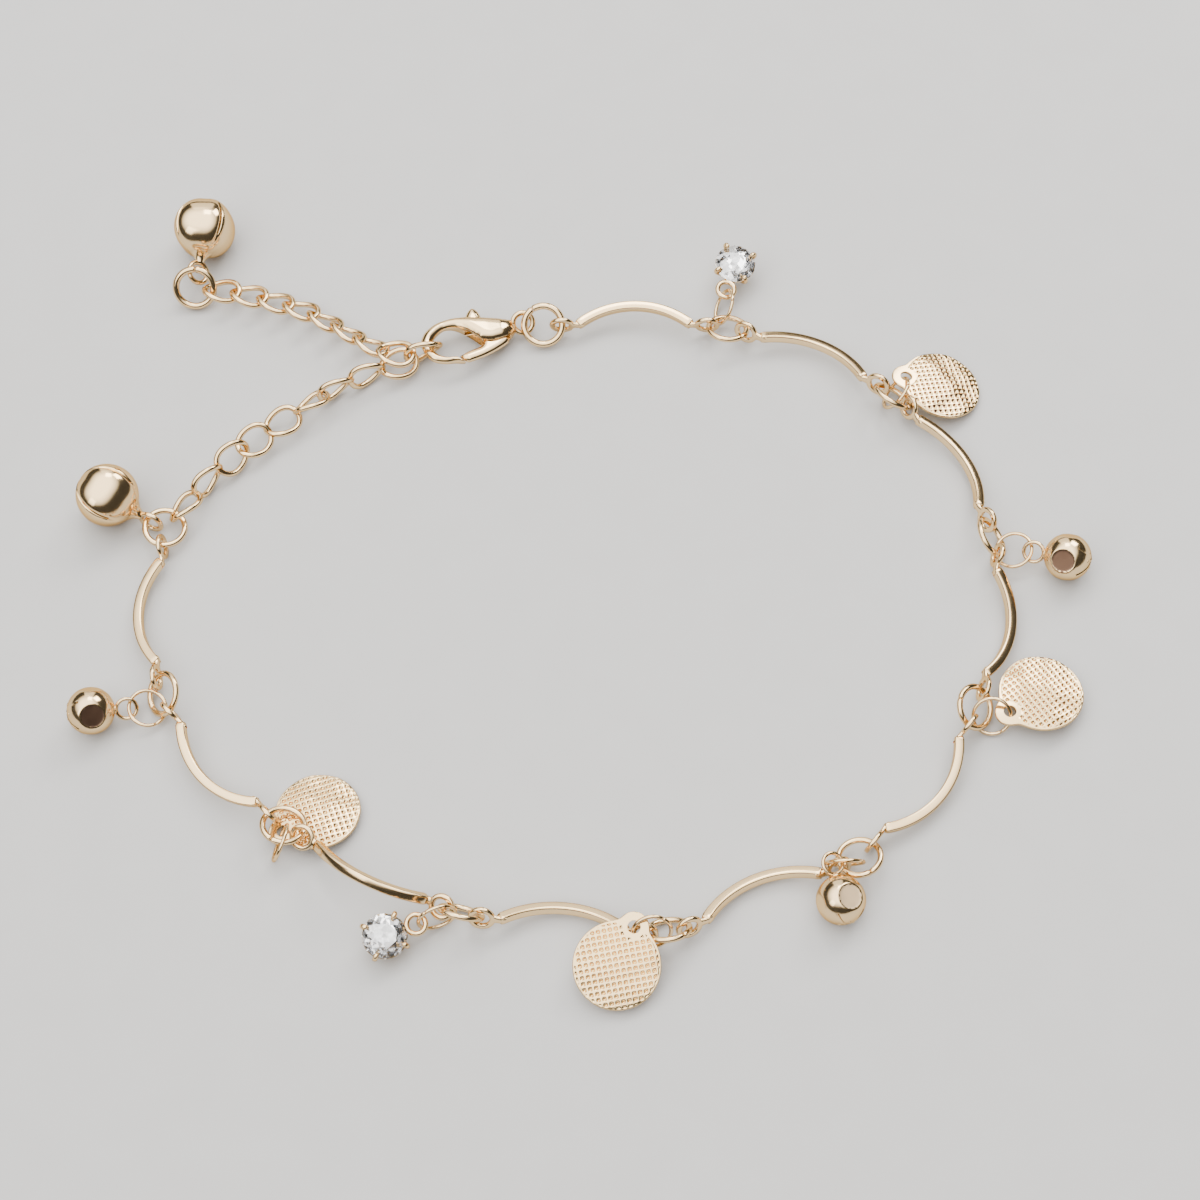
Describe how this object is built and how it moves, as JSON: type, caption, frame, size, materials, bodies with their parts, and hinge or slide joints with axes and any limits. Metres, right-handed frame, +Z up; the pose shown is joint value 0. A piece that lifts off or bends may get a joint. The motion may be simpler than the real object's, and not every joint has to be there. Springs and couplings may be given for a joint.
{
  "type": "charm anklet",
  "caption": "Anklet of curved bars joined by round rings, hung with hammered discs, bells and set crystals, with an extension chain and a lobster clasp.",
  "frame": {"origin": "middle of the lying anklet's box, on the surface it lies on", "axes": "+Z up off the surface; the clasp and the extension chain lie at the +Y side, and the loop's width runs along X"},
  "size_m": [0.0908, 0.0848, 0.006],
  "materials": {
    "gold": "polished pale champagne gold plate",
    "crystal": "clear faceted crystal"
  },
  "bodies": {
    "anklet": {"bar_1": "gold", "bar_2": "gold", "bar_3": "gold", "bar_4": "gold", "bar_5": "gold", "bar_6": "gold", "bar_7": "gold", "bar_8": "gold", "bar_9": "gold", "bar_10": "gold", "clasp_ring": "gold", "ring_1": "gold", "ring_2": "gold", "ring_3": "gold", "ring_4": "gold", "ring_5": "gold", "ring_6": "gold", "ring_7": "gold", "ring_8": "gold", "ring_9": "gold", "ring_10": "gold", "charm_ring_1": "gold", "setting_1": "gold", "stone_1": "crystal", "charm_ring_2": "gold", "disc_2": "gold", "charm_ring_3": "gold", "bell_3": "gold", "charm_ring_4": "gold", "disc_4": "gold", "charm_ring_5": "gold", "bell_5": "gold", "charm_ring_6": "gold", "disc_6": "gold", "charm_ring_7": "gold", "setting_7": "gold", "stone_7": "crystal", "charm_ring_8": "gold", "disc_8": "gold", "charm_ring_9": "gold", "bell_9": "gold", "chain_a_1": "gold", "chain_a_2": "gold", "chain_a_3": "gold", "hooked_link": "gold", "chain_b_1": "gold", "chain_b_2": "gold", "end_ring": "gold", "bell_10": "gold", "bell_end": "gold", "clasp_body": "gold"},
    "lever": {"clasp_lever": "gold"}
  },
  "joints": [
    {"name": "clasp_lever_hinge", "type": "hinge", "parent": "anklet", "child": "lever", "pos_m": [-0.00634, 0.02584, 0.00151], "axis": [0.0606, 0.0078, 0.9981], "range_deg": [-22, 0], "stiffness_Nm_per_rad": 0.00001, "springref_deg": 20.05}
  ]
}
